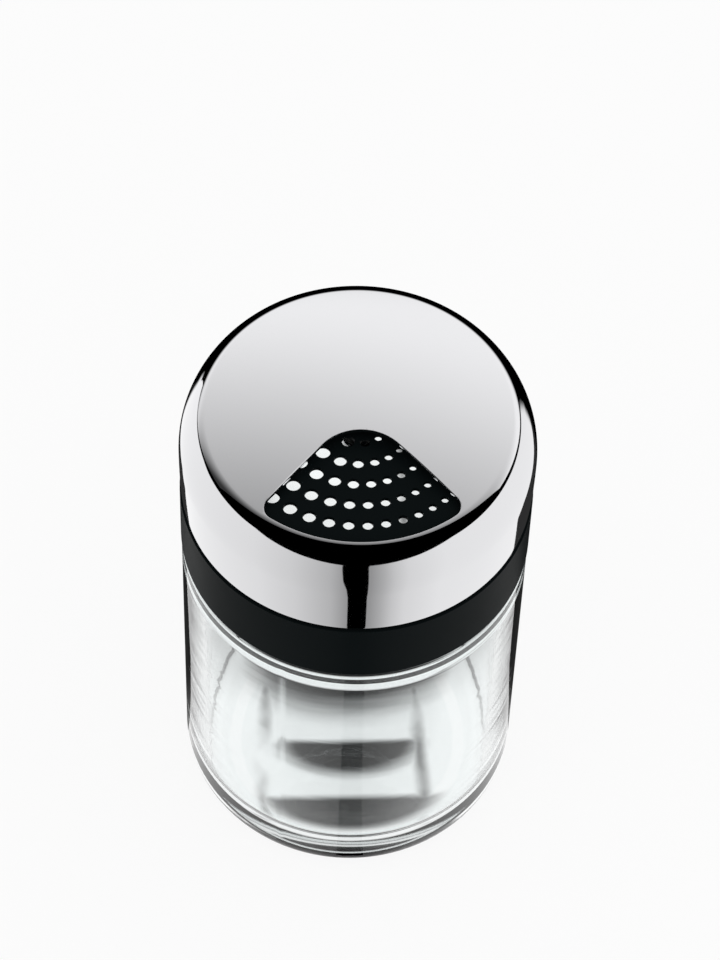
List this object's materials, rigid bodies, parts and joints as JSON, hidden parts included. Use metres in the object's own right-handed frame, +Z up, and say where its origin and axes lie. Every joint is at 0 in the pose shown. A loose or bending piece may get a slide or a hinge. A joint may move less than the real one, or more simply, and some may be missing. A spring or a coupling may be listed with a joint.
{
  "type": "parmesan shaker",
  "caption": "Glass shaker for grated hard cheese, with a screw-on lid whose polished steel cap turns a fan-shaped window over a graded sieve or closes it.",
  "frame": {"origin": "centre of the foot of the jar, on the surface it stands on", "axes": "+Z up along the axis of the jar, -Y towards the front, where the window of the cap stands in the pictured position"},
  "size_m": [0.072, 0.072, 0.124],
  "materials": {
    "jar_glass": "clear pressed glass, fire polished",
    "silicone": "translucent white silicone",
    "black_plastic": "satin black moulded plastic",
    "polished_steel": "mirror-polished stainless steel",
    "plain_steel": "plain stainless steel"
  },
  "bodies": {
    "jar": {"glass_jar": "jar_glass"},
    "lid": {"screw_collar": "black_plastic", "sieve_disc": "black_plastic", "neck_gasket": "silicone"},
    "cap": {"steel_cap": "polished_steel", "cap_liner": "black_plastic", "centre_stud": "plain_steel", "spring_washer": "plain_steel", "flat_washer": "plain_steel", "lock_nut": "plain_steel"}
  },
  "joints": [
    {"name": "lid_lift", "type": "slide", "parent": "jar", "child": "lid", "axis": [0, 0, 1], "range_m": [0, 0.05]},
    {"name": "cap_turn", "type": "hinge", "parent": "lid", "child": "cap", "pos_m": [0, 0, 0.11], "axis": [0, 0, 1], "range_deg": [-47, 97]}
  ]
}
